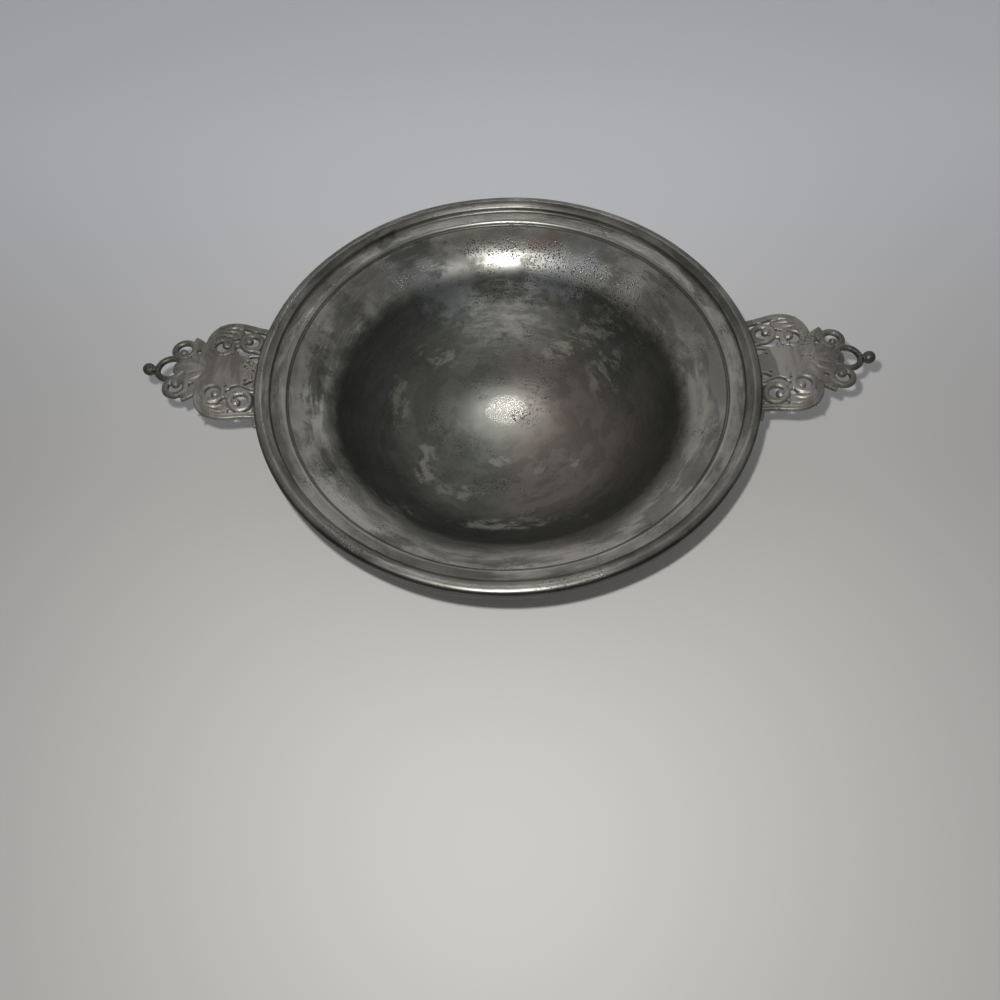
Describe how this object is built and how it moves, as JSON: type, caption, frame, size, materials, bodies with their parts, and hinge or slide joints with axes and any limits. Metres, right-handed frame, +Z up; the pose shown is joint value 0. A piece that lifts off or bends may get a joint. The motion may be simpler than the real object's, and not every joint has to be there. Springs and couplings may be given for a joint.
{
  "type": "porringer",
  "caption": "Wide flanged pewter bowl with a reeded rim, a deep round well, pierced scrollwork ears tipped with a ball, and a low foot ring.",
  "frame": {"origin": "on the bowl's axis, on the surface that the foot ring stands on", "axes": "+Z up along the bowl's axis, +X out through the right ear, +Y across the bowl"},
  "size_m": [0.3788, 0.26, 0.0744],
  "materials": {
    "pewter_bowl": "old pewter, cast and turned, dull grey with a soft sheen, stained inside",
    "pewter_foot": "old pewter, turned, dull grey, scuffed bright where it stands",
    "pewter_ear": "old pewter, cast, grey with dark recesses and rubbed edges",
    "solder": "soft solder, slightly brighter than the pewter"
  },
  "bodies": {
    "root": {"bowl_body": "pewter_bowl", "foot_ring": "pewter_foot", "foot_seam": "solder", "ear_right": "pewter_ear", "ear_left": "pewter_ear", "ear_seam_right": "solder", "ear_seam_left": "solder"}
  },
  "joints": []
}
